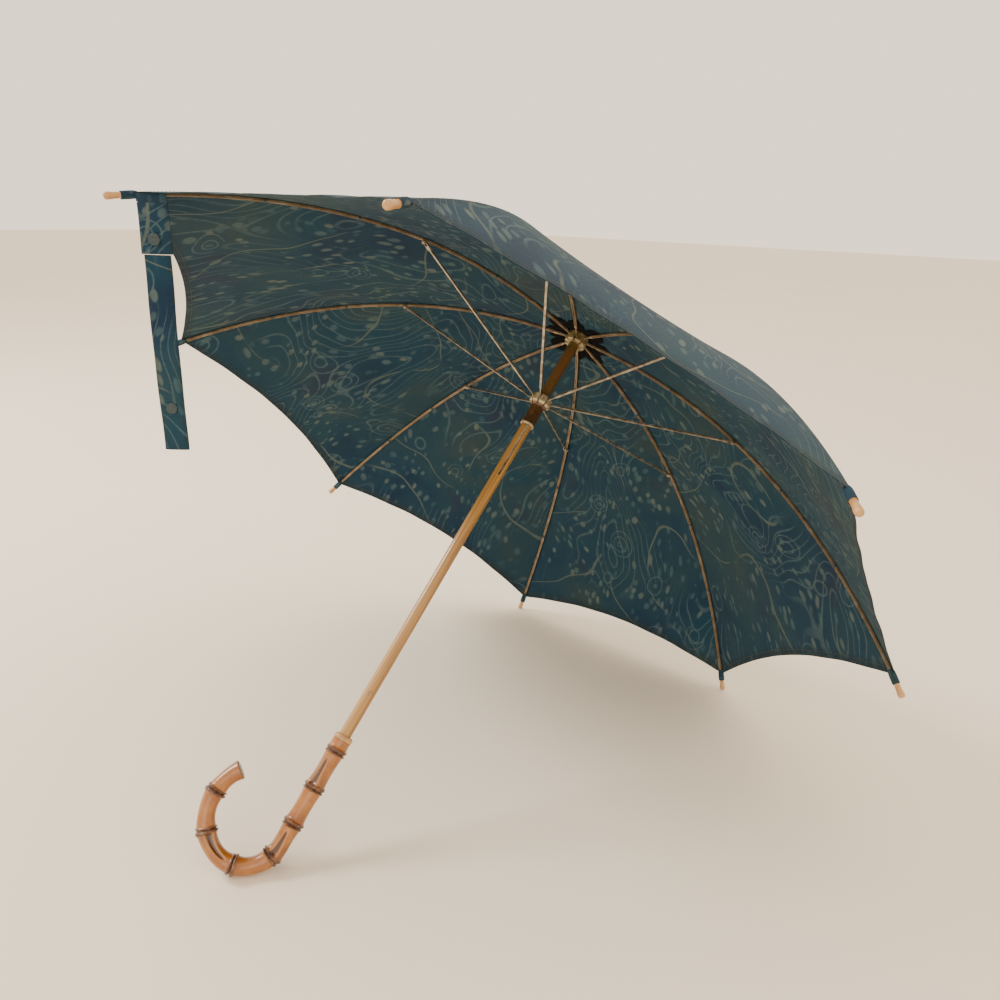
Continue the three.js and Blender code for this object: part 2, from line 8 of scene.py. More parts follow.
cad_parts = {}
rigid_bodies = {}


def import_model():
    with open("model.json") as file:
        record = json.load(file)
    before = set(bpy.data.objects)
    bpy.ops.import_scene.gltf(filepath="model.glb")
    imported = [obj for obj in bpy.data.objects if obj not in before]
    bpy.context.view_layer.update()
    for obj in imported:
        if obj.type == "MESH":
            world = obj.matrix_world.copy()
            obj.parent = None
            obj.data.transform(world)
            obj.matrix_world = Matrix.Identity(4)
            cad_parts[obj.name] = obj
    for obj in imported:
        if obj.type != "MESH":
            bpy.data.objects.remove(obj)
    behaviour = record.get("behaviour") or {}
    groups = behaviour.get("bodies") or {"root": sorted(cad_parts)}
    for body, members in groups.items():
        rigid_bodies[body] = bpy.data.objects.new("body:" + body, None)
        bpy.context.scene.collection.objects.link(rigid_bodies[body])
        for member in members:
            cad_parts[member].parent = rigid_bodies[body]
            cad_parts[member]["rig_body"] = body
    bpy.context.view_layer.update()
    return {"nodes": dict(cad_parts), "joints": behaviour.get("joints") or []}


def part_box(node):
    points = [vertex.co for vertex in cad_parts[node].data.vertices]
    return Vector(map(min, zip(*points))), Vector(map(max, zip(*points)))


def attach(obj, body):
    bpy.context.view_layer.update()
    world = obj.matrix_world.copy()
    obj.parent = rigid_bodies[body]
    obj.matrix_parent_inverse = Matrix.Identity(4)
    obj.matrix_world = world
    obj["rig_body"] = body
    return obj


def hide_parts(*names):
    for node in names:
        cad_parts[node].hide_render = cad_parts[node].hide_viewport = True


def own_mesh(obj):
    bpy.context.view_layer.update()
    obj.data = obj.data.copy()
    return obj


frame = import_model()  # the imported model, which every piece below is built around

nodes = frame["nodes"]
joints = {joint["name"]: joint for joint in frame["joints"]}

# ------------------------------------------------------------------ camera, floor and light
# A parasol put down to dry on a pale floor. The camera stands low on the handle's side and looks
# along the shaft into the open canopy, with soft light from the upper left.
camera = bpy.data.objects.new("camera", bpy.data.cameras.new("camera"))
bpy.context.scene.collection.objects.link(camera)
camera.data.lens = 30.2
camera.data.clip_start = 0.02
camera.location = (-0.596, -0.533, 0.569)
camera.rotation_euler = [math.radians(turn) for turn in (70.63, -1.6, -49.68)]
bpy.context.scene.camera = camera


class Wire:
    """A socket of a shader tree, so that shader maths is written as an expression."""

    def __init__(self, tree, socket):
        self.tree, self.socket = tree, socket

    def _math(self, operation, *values):
        step = self.tree.nodes.new("ShaderNodeMath")
        step.operation = operation
        for slot, value in zip(step.inputs, values):
            plug(self.tree, slot, value)
        return Wire(self.tree, step.outputs[0])

    def __add__(self, other):
        return self._math("ADD", self, other)

    def __sub__(self, other):
        return self._math("SUBTRACT", self, other)

    def __rsub__(self, other):
        return self._math("SUBTRACT", other, self)

    def __mul__(self, other):
        return self._math("MULTIPLY", self, other)

    __radd__ = __add__
    __rmul__ = __mul__

    def fraction(self):
        return self._math("FRACT", self)

    def size(self):
        return self._math("ABSOLUTE", self)

    def sine(self):
        return self._math("SINE", self)

    def most(self, other):
        return self._math("MAXIMUM", self, other)

    def step(self, low, high):
        """0 below low and 1 above high, with a smooth change between; it falls where low is the higher."""
        ramp = self.tree.nodes.new("ShaderNodeMapRange")
        ramp.interpolation_type = "SMOOTHSTEP"
        plug(self.tree, ramp.inputs["Value"], self)
        ramp.inputs["From Min"].default_value = min(low, high)
        ramp.inputs["From Max"].default_value = max(low, high)
        rises = low <= high
        ramp.inputs["To Min"].default_value = 0.0 if rises else 1.0
        ramp.inputs["To Max"].default_value = 1.0 if rises else 0.0
        return Wire(self.tree, ramp.outputs[0])


def plug(tree, slot, value):
    if isinstance(value, Wire):
        tree.links.new(value.socket, slot)
    elif isinstance(value, tuple) and slot.type == "RGBA" and len(value) == 3:
        slot.default_value = (*value, 1.0)
    else:
        slot.default_value = value


class Finish:
    """A material under construction: its tree, its Principled shader and short ways to add nodes."""

    def __init__(self, name, **principled):
        self.material = bpy.data.materials.new(name)
        self.material.use_nodes = True
        self.tree = self.material.node_tree
        self.shader = self.tree.nodes["Principled BSDF"]
        for socket, value in principled.items():
            self.set(socket.replace("_", " "), value)

    def set(self, socket, value):
        plug(self.tree, self.shader.inputs[socket], value)

    def node(self, kind, output=0, settings=None, **values):
        made = self.tree.nodes.new("ShaderNode" + kind)
        for name, value in (settings or {}).items():
            setattr(made, name, value)
        for name, value in values.items():
            numbered = name[0] == "i" and name[1:].isdigit()  # i6 is the input number 6
            plug(self.tree, made.inputs[int(name[1:]) if numbered else name], value)
        return Wire(self.tree, made.outputs[output])

    def place(self):
        """Object coordinates, in metres."""
        return self.node("TexCoord", output="Object")

    def stretch(self, at, scale, turn=(0, 0, 0)):
        return self.node("Mapping", Vector=at, Scale=scale, Rotation=turn)

    def cloud(self, at, scale, detail=2.0, roughness=0.5, distortion=0.0):
        return self.node(
            "TexNoise", Vector=at, Scale=scale, Detail=detail, Roughness=roughness, Distortion=distortion
        )

    def blend(self, share, low, high):
        return self.node(
            "Mix", output=2, settings={"data_type": "RGBA"}, i0=share, i6=low, i7=high
        )

    def ramp(self, share, *stops):
        made = self.tree.nodes.new("ShaderNodeValToRGB")
        plug(self.tree, made.inputs[0], share)
        while len(made.color_ramp.elements) < len(stops):
            made.color_ramp.elements.new(0.5)
        for element, (position, colour) in zip(made.color_ramp.elements, stops):
            element.position = position
            element.color = (*colour, 1)
        return Wire(self.tree, made.outputs[0])

    def relief(self, height, depth, strength=1.0):
        bump = self.node("Bump", Height=height, Distance=depth, Strength=strength)
        self.set("Normal", bump)


# the floor: plain cream cloth-covered board, wide enough for every view
floor_finish = Finish("floor_cream", Roughness=0.9)
floor_at = floor_finish.place()
floor_tone = floor_finish.cloud(floor_at, 1.3, detail=3.0)
floor_finish.set("Base Color", floor_finish.blend(floor_tone, (0.83, 0.745, 0.62), (0.88, 0.80, 0.675)))
floor_mesh = bpy.data.meshes.new("floor")
FLOOR_REACH = 14.0
floor_mesh.from_pydata(
    [(x * FLOOR_REACH, y * FLOOR_REACH, 0) for x, y in ((-1, -1), (1, -1), (1, 1), (-1, 1))],
    [],
    [(0, 1, 2, 3)],
)
floor_mesh.materials.append(floor_finish.material)
floor = bpy.data.objects.new("floor", floor_mesh)
bpy.context.scene.collection.objects.link(floor)
floor.location.z = -0.0006  # clear of the pieces that lie on it

world = bpy.data.worlds.new("soft_room")
bpy.context.scene.world = world
world.use_nodes = True
room_light = world.node_tree.nodes["Background"]
room_light.inputs["Color"].default_value = (0.98, 0.835, 0.66, 1)
room_light.inputs["Strength"].default_value = 1.85


def soft_light(name, place, aim, size, power, colour):
    data = bpy.data.lights.new(name, "AREA")
    data.shape = "DISK"
    data.size = size
    data.energy = power
    data.color = colour
    light = bpy.data.objects.new(name, data)
    bpy.context.scene.collection.objects.link(light)
    light.location = place
    light.rotation_euler = (Vector(aim) - Vector(place)).to_track_quat("-Z", "Y").to_euler()


soft_light("window", (-1.1, 2.3, 2.5), (0.05, 0.0, 0.2), 1.1, 95, (1.0, 0.96, 0.90))
soft_light("fill", (-2.6, -1.6, 1.4), (0.0, 0.0, 0.3), 2.4, 22, (1.0, 0.95, 0.88))

# ------------------------------------------------------------------ where the umbrella stands
# Everything is placed in the umbrella's own directions: up its shaft, and for each rib outwards
# and across. They are read from the frame's joints.
RIBS = range(1, 9)
hinge_points = {i: Vector(joints[f"rib_{i}_hinge"]["pos_m"]) for i in RIBS}
hub = sum(hinge_points.values(), Vector()) / len(hinge_points)
up = -Vector(joints["runner_slide"]["axis"]).normalized()
outward = {i: (hinge_points[i] - hub).normalized() for i in RIBS}
across = {i: up.cross(outward[i]) for i in RIBS}
PIVOT_RADIUS = (hinge_points[1] - hub).length
HALF_GORE = math.pi / len(RIBS)
floor_side = (outward[4] + outward[5]).normalized()


def at_rib(i, radius, height, side=0.0):
    """A point by its distance from the shaft's axis in a rib's plane, its height over the hub, and across."""
    return hub + outward[i] * radius + up * height + across[i] * side


def skin(name, rings, finish, caps=True, angle=40):
    """A surface through rings of points, each with as many points; caps close its first and last ring."""
    count = len(rings[0])
    points = [p for ring in rings for p in ring]
    faces = []
    for r in range(len(rings) - 1):
        for k in range(count):
            a, b = r * count + k, r * count + (k + 1) % count
            faces.append((a, b, b + count, a + count))
    if caps:
        faces.append(tuple(reversed(range(count))))
        last = (len(rings) - 1) * count
        faces.append(tuple(range(last, last + count)))
    return finished(name, points, faces, finish, angle)


def finished(name, points, faces, finish, angle=40):
    mesh = bpy.data.meshes.new(name)
    mesh.from_pydata([tuple(p) for p in points], [], faces)
    mesh.validate()
    tidy_mesh(mesh, angle)
    mesh.materials.append(finish.material)
    piece = bpy.data.objects.new(name, mesh)
    bpy.context.scene.collection.objects.link(piece)
    return piece


def tidy_mesh(mesh, angle, weld=0.0):
    edit = bmesh.new()
    edit.from_mesh(mesh)
    if weld:
        bmesh.ops.remove_doubles(edit, verts=edit.verts, dist=weld)
        bmesh.ops.dissolve_limit(edit, angle_limit=math.radians(0.6), verts=edit.verts, edges=edit.edges)
    bmesh.ops.recalc_face_normals(edit, faces=edit.faces)
    edit.to_mesh(mesh)
    edit.free()
    mesh.shade_smooth()
    mesh.set_sharp_from_angle(angle=math.radians(angle))


def circle(centre, first, second, radius, count):
    turns = (2 * math.pi * k / count for k in range(count))
    return [centre + first * (radius * math.cos(t)) + second * (radius * math.sin(t)) for t in turns]


def turned(name, centre, axis, profile, finish, sides=48, angle=40, caps=True):
    """A solid of revolution: profile is (radius, height) pairs along the axis from the centre."""
    first = axis.orthogonal().normalized()
    second = axis.cross(first)
    rings = [circle(centre + axis * height, first, second, radius, sides) for radius, height in profile]
    return skin(name, rings, finish, angle=angle, caps=caps)


SHARP_ANGLE = 35  # degrees between two faces of a CAD node that meet in an edge


def refined(node, finish, edge):
    """A CAD node whose shape is right, with its edges broken and its round faces smooth."""
    mesh = nodes[node].data.copy()
    mesh.name = node + "_fine"
    mesh.materials.clear()
    tidy_mesh(mesh, SHARP_ANGLE, weld=2e-6)
    mesh.materials.append(finish.material)
    piece = bpy.data.objects.new(node + "_fine", mesh)
    bpy.context.scene.collection.objects.link(piece)
    if edge:
        bevel = piece.modifiers.new("broken_edges", "BEVEL")
        bevel.width = edge
        bevel.segments = 2
        bevel.limit_method = "ANGLE"
        bevel.angle_limit = math.radians(SHARP_ANGLE)
        bevel.harden_normals = True
    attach(piece, nodes[node]["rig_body"])
    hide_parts(node)
    return piece


# ------------------------------------------------------------------ shaft
# A straight turned wooden rod, stained and varnished, that runs from the handle to the ferrule.
# Near the hub and above it the wood is painted a darker olive brown, a painted shade that stands in for the
# shadow under the canopy, and a slot in it holds the catch spring.
shaft_lean = tuple(up.to_track_quat("Z", "Y").to_euler())


def along_shaft(finish):
    """Coordinates whose origin is the hub and whose Z runs up the shaft."""
    at = finish.place()
    texture = {"vector_type": "TEXTURE"}
    return finish.node("Mapping", settings=texture, Vector=at, Location=tuple(hub), Rotation=shaft_lean)


honey_wood = Finish("honey_wood", Coat_Weight=0.45, Coat_Roughness=0.12)
along = along_shaft(honey_wood)
height = honey_wood.node("SeparateXYZ", output=2, Vector=along)
grain = honey_wood.cloud(honey_wood.stretch(along, (420, 420, 9)), 1.0, detail=4.0, distortion=0.4)
streak = honey_wood.cloud(honey_wood.stretch(along, (900, 900, 16)), 1.0, detail=2.0)
tone = honey_wood.ramp(
    grain * 0.75 + streak * 0.25,
    (0.25, (0.20, 0.085, 0.014)),
    (0.5, (0.37, 0.185, 0.040)),
    (0.72, (0.50, 0.29, 0.085)),
)
# painted shade: from about 0.1 m below the hub upwards, the ferrule included, the wood is painted a mottled
# darker olive brown
shade_mottle = honey_wood.cloud(honey_wood.stretch(along, (60, 60, 22)), 1.0, detail=3.0)
dark = honey_wood.ramp(
    shade_mottle, (0.3, (0.060, 0.040, 0.010)), (0.55, (0.120, 0.075, 0.016)), (0.75, (0.17, 0.070, 0.016))
)
painted_shade_near_hub = (height + (shade_mottle - 0.5) * 0.05).step(-0.135, -0.075)
honey_wood.set("Base Color", honey_wood.blend(painted_shade_near_hub, tone, dark))
honey_wood.set("Roughness", 0.3 + grain * 0.15)
honey_wood.relief(grain * 0.6 + streak * 0.4, 0.00006, 0.6)
refined("shaft", honey_wood, edge=0.0002)

# ------------------------------------------------------------------ handle
# One length of knotty bamboo root, steamed and bent into a crook, then lacquered. Its knots stand
# proud as dark rough rings, and every other stretch has a deep groove that ends in a bud scar.
CROOK_AZIMUTH = math.radians(132)
crook_side = Matrix.Rotation(CROOK_AZIMUTH, 3, up) @ floor_side
HANDLE_TOP = 0.483
KNOTS = [0.011, 0.048, 0.083, 0.115, 0.150, 0.190, 0.225]
STRAIGHT = 0.103
BENDS = [(0.034, math.radians(112)), (0.045, math.radians(105))]
HANDLE_LENGTH = STRAIGHT + sum(radius * turn for radius, turn in BENDS)
GROOVED_LENGTH = 0.02  # a shorter stretch has neither waist nor groove
KNOT_RADIUS = 0.0088
WAIST_RADIUS, SWELL = 0.0080, 0.0013
GROOVE_DEPTH, BANK_RISE = 0.0021, 0.00055


def handle_line(distance):
    """A point of the handle's centre line, its direction, and the way to the inside of the bend."""
    x, z, heading, left = 0.0, -min(distance, STRAIGHT), 0.0, max(0.0, distance - STRAIGHT)
    for radius, most in BENDS:
        turn = min(left / radius, most)
        x += radius * (math.cos(heading) - math.cos(heading + turn))
        z -= radius * (math.sin(heading + turn) - math.sin(heading))
        heading += turn
        left -= turn * radius
    point = hub - up * HANDLE_TOP + crook_side * x + up * z
    ahead = crook_side * math.sin(heading) - up * math.cos(heading)
    inner = crook_side * math.cos(heading) + up * math.sin(heading)
    return point, ahead, inner


def smooth(value, low, high):
    share = min(1.0, max(0.0, (value - low) / (high - low)))
    return share * share * (3 - 2 * share)


binormal = crook_side.cross(up)
GROOVE_TURNS = [2.2, 5.2, 1.9, 4.9, 2.1, 5.0, 2.3, 2.0]  # where each stretch's groove lies round the cane
steps, sides = 520, 72
rings = []
knot_amount, groove_amount, run_amount = [], [], []
ends = [0.0] + KNOTS + [HANDLE_LENGTH]
for s in range(steps + 1):
    distance = HANDLE_LENGTH * s / steps
    point, ahead, inner = handle_line(distance)
    stretch_number = max(k for k in range(len(ends) - 1) if ends[k] <= distance + 1e-9)
    start, stop = ends[stretch_number], ends[stretch_number + 1]
    run = (distance - start) / (stop - start)
    length = stop - start
    nearest = min(KNOTS, key=lambda k: abs(k - distance))
    off = (distance - nearest) / 0.001
    # each stretch is slim in the middle and swells into its knots; a knot is a lip, a dip and a lip
    waist = WAIST_RADIUS + SWELL * (2 * run - 1) ** 2 if length > GROOVED_LENGTH else KNOT_RADIUS
    lip = 0.0014 * math.exp(-(((off + 1.6) / 1.7) ** 2)) + 0.0011 * math.exp(-(((off - 2.3) / 0.9) ** 2))
    dip = 0.0007 * math.exp(-(((off - 0.7) / 0.6) ** 2))
    taper = 1 - 0.05 * distance / HANDLE_LENGTH
    ring = []
    for k in range(sides):
        turn = 2 * math.pi * k / sides
        direction = inner * math.cos(turn) + binormal * math.sin(turn)
        wobble = noise.noise(Vector((math.cos(turn) * 1.4, math.sin(turn) * 1.4, distance * 38)))
        rough = noise.noise(Vector((math.cos(turn) * 5, math.sin(turn) * 5, distance * 420)))
        knot = math.exp(-(((off - 0.3) / 2.9) ** 2))
        radius = waist * taper + (lip - dip) * (1 + 0.35 * wobble) + 0.00025 * wobble + 0.00016 * rough * knot
        groove = 0.0
        if length > GROOVED_LENGTH:
            away = (turn - GROOVE_TURNS[stretch_number] + math.pi) % (2 * math.pi) - math.pi
            width = 0.10 + 0.34 * run**1.4
            groove = math.exp(-((away / width) ** 2)) * smooth(run, 0.12, 0.35) * (1 - smooth(run, 0.93, 1.0))
            bank = math.exp(-(((abs(away) - 1.7 * width) / (0.9 * width)) ** 2)) * smooth(run, 0.1, 0.4)
            radius += BANK_RISE * bank * (1 - smooth(run, 0.9, 1.0))
            radius -= GROOVE_DEPTH * groove * (0.45 + 0.55 * run)
        ring.append(point + direction * radius)
        knot_amount.append(knot)
        groove_amount.append(groove)
        run_amount.append(run)
    rings.append(ring)
# the cut end: slightly rounded over, then flat
point, ahead, inner = handle_line(HANDLE_LENGTH)
for share, rise in ((0.96, 0.0006), (0.86, 0.0009), (0.4, 0.0007)):
    rings.append([point + (p - point) * share + ahead * rise for p in rings[steps]])
    for amount in (knot_amount, groove_amount, run_amount):
        amount.extend([0.9 if amount is knot_amount else 0.0] * sides)

bamboo = Finish("lacquered_bamboo", Coat_Weight=0.45, Coat_Roughness=0.10)
knots = bamboo.node("Attribute", output="Fac", settings={"attribute_name": "knot"})
grooves = bamboo.node("Attribute", output="Fac", settings={"attribute_name": "groove"})
runs = bamboo.node("Attribute", output="Fac", settings={"attribute_name": "run"})
around = bamboo.node("Attribute", output="Vector", settings={"attribute_name": "around"})
at = bamboo.place()
fibre = bamboo.cloud(bamboo.stretch(around, (26, 26, 14)), 1.0, detail=4.0, roughness=0.6)
blotch = bamboo.cloud(at, 55, detail=3.0, distortion=0.6)
cane = bamboo.ramp(
    blotch * 0.7 + fibre * 0.3,
    (0.3, (0.21, 0.058, 0.007)),
    (0.5, (0.31, 0.104, 0.013)),
    (0.7, (0.41, 0.168, 0.030)),
)
scorch = bamboo.cloud(at, 210, detail=4.0, roughness=0.65)
cane = bamboo.blend(runs.step(0.45, 1.0) * 0.6, cane, (0.19, 0.050, 0.007))
cane = bamboo.blend((grooves + (blotch - 0.5) * 0.5).step(0.15, 0.75) * 0.95, cane, (0.050, 0.014, 0.004))
bank_tint = grooves.step(0.02, 0.2) * grooves.step(0.6, 0.25) * 0.45
cane = bamboo.blend(bank_tint, cane, (0.46, 0.22, 0.055))
ring_mask = (knots + (scorch - 0.5) * 0.9).step(0.18, 0.6)
ring_tone = bamboo.ramp(
    scorch, (0.35, (0.030, 0.010, 0.005)), (0.55, (0.10, 0.036, 0.014)), (0.74, (0.28, 0.135, 0.048))
)
cane = bamboo.blend(ring_mask, cane, ring_tone)
specks = bamboo.cloud(bamboo.stretch(around, (60, 60, 160)), 1.0, detail=2.0).step(0.66, 0.74)
cane = bamboo.blend(specks * 0.5, cane, (0.14, 0.045, 0.010))
bamboo.set("Base Color", cane)
bamboo.set("Roughness", 0.26 + ring_mask * 0.35)
bamboo.relief(scorch * ring_mask * 2 + fibre * 0.5, 0.00022, 0.7)

handle = skin("crook", rings, bamboo, angle=60)
for label, values in (("knot", knot_amount), ("groove", groove_amount), ("run", run_amount)):
    layer = handle.data.attributes.new(label, "FLOAT", "POINT")
    layer.data.foreach_set("value", values)
around_layer = handle.data.attributes.new("around", "FLOAT_VECTOR", "POINT")
around_values = []
for r in range(len(rings)):
    for k in range(sides):
        turn = 2 * math.pi * k / sides
        around_values.extend((math.cos(turn), math.sin(turn), HANDLE_LENGTH * min(r, steps) / steps * 10))
around_layer.data.foreach_set("vector", around_values)
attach(handle, "root")
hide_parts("handle")

# ------------------------------------------------------------------ collar on the handle
# A short ring of the cane's own pale end grain that hides the joint between shaft and handle.
pale_wood = Finish("pale_wood", Coat_Weight=0.35, Coat_Roughness=0.2)
at = pale_wood.place()
pale_grain = pale_wood.cloud(pale_wood.stretch(at, (500, 500, 500)), 1.0, detail=3.0)
pale_patch = pale_wood.cloud(at, 90, detail=3.0)
pale_wood.set(
    "Base Color",
    pale_wood.ramp(
        pale_patch * 0.6 + pale_grain * 0.4,
        (0.3, (0.34, 0.165, 0.055)),
        (0.55, (0.50, 0.275, 0.105)),
        (0.75, (0.62, 0.38, 0.175)),
    ),
)
pale_wood.set("Roughness", 0.38 + pale_grain * 0.2)
pale_wood.relief(pale_grain, 0.0001, 0.5)

collar_bottom = hub - up * (HANDLE_TOP - 0.0002)
collar_profile = [(0.0061, 0), (0.0090, 0), (0.0093, 0.0008), (0.0092, 0.0030), (0.0085, 0.0043)]
collar_profile += [(0.0072, 0.0049), (0.0061, 0.0049), (0.0061, 0)]
collar = turned("handle_ring", collar_bottom, up, collar_profile, pale_wood, angle=50, caps=False)
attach(collar, "root")
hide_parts("handle_collar")

# ------------------------------------------------------------------ notch, runner and their wire
# The notch is a slotted brass-coloured ring pinned to the shaft, and the runner slides below it.
# Both are turned and then sawn into teeth; the ribs are strung on a wire through the notch.
brass = Finish("aged_fitting", Metallic=0.35, Coat_Weight=0.25, Coat_Roughness=0.25)
at = brass.place()
tarnish = brass.cloud(at, 140, detail=4.0, roughness=0.6)
fine = brass.cloud(at, 900, detail=2.0)
brass.set(
    "Base Color",
    brass.ramp(tarnish, (0.3, (0.15, 0.105, 0.040)), (0.5, (0.34, 0.255, 0.120)), (0.72, (0.56, 0.45, 0.27))),
)
brass.set("Roughness", 0.3 + tarnish * 0.3)
brass.relief(fine * 0.4 + tarnish, 0.00008, 0.6)
for node in ("notch", "ferrule_cap"):
    refined(node, brass, edge=0.0003)

# the runner's brass tube is painted a dark brown-orange, a painted reflection of the wood and painted shade;
# only its crown and its lower ring keep the pale brass colour
drops = [(hub - corner.co).dot(up) for corner in nodes["runner"].data.vertices]
runner_shaded_brass = Finish("runner_painted_reflection", Metallic=0.3, Coat_Weight=0.7, Coat_Roughness=0.1)
drop = 0 - runner_shaded_brass.node("SeparateXYZ", output=2, Vector=along_shaft(runner_shaded_brass))
runner_mottle = runner_shaded_brass.cloud(runner_shaded_brass.place(), 260, detail=4.0, roughness=0.6)
# the pale brass colour goes on the crown and on the lower ring; the rest of the tube gets the painted
# reflection and shade
pale_brass_mask = (drop + (runner_mottle - 0.5) * 0.0016).step(min(drops) + 0.0108, min(drops) + 0.0096)
pale_brass_mask = pale_brass_mask.most(drop.step(max(drops) - 0.0026, max(drops) - 0.0020))
# painted reflection and painted shade: a mottled dark brown-orange over the tube between its pale crown and
# its pale lower ring
amber = runner_shaded_brass.ramp(
    runner_mottle, (0.3, (0.050, 0.022, 0.006)), (0.55, (0.110, 0.050, 0.012)), (0.75, (0.20, 0.105, 0.030))
)
pale_brass = runner_shaded_brass.ramp(
    runner_mottle, (0.3, (0.24, 0.17, 0.085)), (0.5, (0.44, 0.35, 0.20)), (0.72, (0.64, 0.55, 0.38))
)
runner_shaded_brass.set("Base Color", runner_shaded_brass.blend(pale_brass_mask, amber, pale_brass))
runner_shaded_brass.set("Roughness", 0.28 + runner_mottle * 0.25)
runner_shaded_brass.relief(runner_mottle, 0.00008, 0.5)
refined("runner", runner_shaded_brass, edge=0.0003)

steel = Finish("worn_steel", Metallic=0.85)
at = steel.place()
wear = steel.cloud(at, 160, detail=4.0, roughness=0.6)
steel.set(
    "Base Color",
    steel.ramp(wear, (0.3, (0.16, 0.125, 0.09)), (0.5, (0.34, 0.29, 0.22)), (0.7, (0.55, 0.49, 0.40))),
)
steel.set("Roughness", 0.24 + wear * 0.28)
steel.relief(steel.cloud(at, 1200, detail=2.0), 0.00003, 0.4)
refined("notch_wire", steel, edge=0)
refined("upper_catch", steel, edge=0.00012)
refined("stop_pin", steel, edge=0.0003)

# ------------------------------------------------------------------ stretchers and rivets
# Thin folded steel bars, flattened at the runner and forked round the rib, where a rivet holds them.
for i in RIBS:
    refined(f"stretcher_{i}", steel, edge=0.00035)
    refined(f"rivet_{i}", steel, edge=0.0002)

# ------------------------------------------------------------------ ribs
# Bronzed steel strip folded into a channel that is open towards the shaft, sprung into a curve by
# the cloth. It is flattened at the notch, and a crimped lug under it takes the rivet.
TIP_RADIUS, TIP_DROP = 0.430, 0.211
ROOT_SLOPE, TIP_SLOPE = math.tan(math.radians(2)), math.tan(math.radians(47.6))
RIB_WIDTH, RIB_HEIGHT = 0.0028, 0.0024
RIB_WALL, RIB_CORNER = 0.00042, 0.0006
RIB_STEPS = 90
ROOT_HEIGHT = 0.0021
TIP_LENGTH, TIP_SOCKET = 0.022, 0.0085


def rib_line(radius):
    """Height over the hub and slope of a rib's centre line."""
    run = TIP_RADIUS - PIVOT_RADIUS
    u = (radius - PIVOT_RADIUS) / run
    start, end = ROOT_SLOPE * run, TIP_SLOPE * run
    drop = (u**3 - 2 * u**2 + u) * start + (3 * u**2 - 2 * u**3) * TIP_DROP + (u**3 - u**2) * end
    fall = ((3 * u**2 - 4 * u + 1) * start + 6 * (u - u**2) * TIP_DROP + (3 * u**2 - 2 * u) * end) / run
    return -drop, math.atan(fall)


def over_rib(radius, height):
    """(radius, height over the hub) of the point that stands square off the centre line."""
    z, slope = rib_line(radius)
    return radius + height * math.sin(slope), z + height * math.cos(slope)


tip_slope = rib_line(TIP_RADIUS)[1]
RIB_END = TIP_RADIUS - (TIP_LENGTH - TIP_SOCKET) * math.cos(tip_slope)
BLADE_END = PIVOT_RADIUS + 0.0155
rivet_radius = (Vector(joints["stretcher_1_hinge"]["pos_m"]) - hub).dot(outward[1])

bronze = Finish("bronzed_rib", Metallic=0.55)
at = bronze.place()
patina = bronze.cloud(at, 70, detail=4.0, roughness=0.6)
grit = bronze.cloud(at, 700, detail=3.0)
bronze.set(
    "Base Color",
    bronze.ramp(
        patina * 0.7 + grit * 0.3,
        (0.3, (0.19, 0.125, 0.070)),
        (0.5, (0.34, 0.245, 0.155)),
        (0.7, (0.52, 0.42, 0.30)),
    ),
)
bronze.set("Roughness", 0.34 + grit * 0.25)
bronze.relief(grit, 0.00005, 0.5)


def rib_section(radius):
    """The channel's outline round the centre line, from one lip over the roof to the other lip."""
    w, h, r = RIB_WIDTH / 2, RIB_HEIGHT / 2, RIB_CORNER
    outside = [(-w, -h), (-w, h - r), (-w + 0.3 * r, h - 0.3 * r), (-w + r, h)]
    outside += [(w - r, h), (w - 0.3 * r, h - 0.3 * r), (w, h - r), (w, -h)]
    inner = w - RIB_WALL
    roof = h - 2 * RIB_WALL
    inside = [(inner, -h), (inner, roof), (-inner, roof), (-inner, -h)]
    return [(side, *over_rib(radius, height)) for side, height in outside + inside]


for i in RIBS:
    rings = []
    for s in range(RIB_STEPS + 1):
        radius = BLADE_END + (RIB_END - BLADE_END) * s / RIB_STEPS
        flat = smooth(abs(radius - rivet_radius), 0.004, 0.010)
        section = rib_section(radius)
        if flat < 1:
            low = over_rib(radius, -RIB_HEIGHT / 2)
            section[-3:-1] = [
                (side, r + (low[0] - r) * (1 - flat) * 0.9, z + (low[1] - z) * (1 - flat) * 0.9)
                for side, r, z in section[-3:-1]
            ]
        rings.append([at_rib(i, r, z, side) for side, r, z in section])
    rib = skin(f"rib_channel_{i}", rings, bronze, angle=30)
    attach(rib, f"rib_{i}")
    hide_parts(f"rib_{i}")
    # the flattened root with its eye, and the lug under the rib that holds the rivet
    blade_rings = []
    for s in range(9):
        radius = PIVOT_RADIUS + (BLADE_END + 0.003 - PIVOT_RADIUS) * s / 8
        wide = 0.0006 + 0.0007 * smooth(radius, BLADE_END - 0.004, BLADE_END + 0.002)
        high = ROOT_HEIGHT / 2
        outline = [(-wide, -high), (wide, -high), (wide, high), (-wide, high)]
        blade_rings.append([at_rib(i, *over_rib(radius, h), side) for side, h in outline])
    blade = skin(f"rib_root_{i}", blade_rings, bronze, angle=30)
    lug_centre = Vector(joints[f"stretcher_{i}_hinge"]["pos_m"])
    lug_profile = [(0.0009, -0.0014), (0.0020, -0.0014), (0.0022, -0.0012), (0.0022, 0.0012)]
    lug_profile += [(0.0020, 0.0014), (0.0009, 0.0014), (0.0009, -0.0014)]
    lug = turned(f"rib_lug_{i}", lug_centre, across[i], lug_profile, bronze, sides=28, caps=False)
    eye_profile = [(0.0008, -0.0006), (0.00135, -0.0006), (0.00135, 0.0006), (0.0008, 0.0006)]
    eye_profile += eye_profile[:1]
    eye = turned(f"rib_eye_{i}", hinge_points[i], across[i], eye_profile, bronze, sides=24, caps=False)
    for extra in (blade, lug, eye):
        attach(extra, f"rib_{i}")

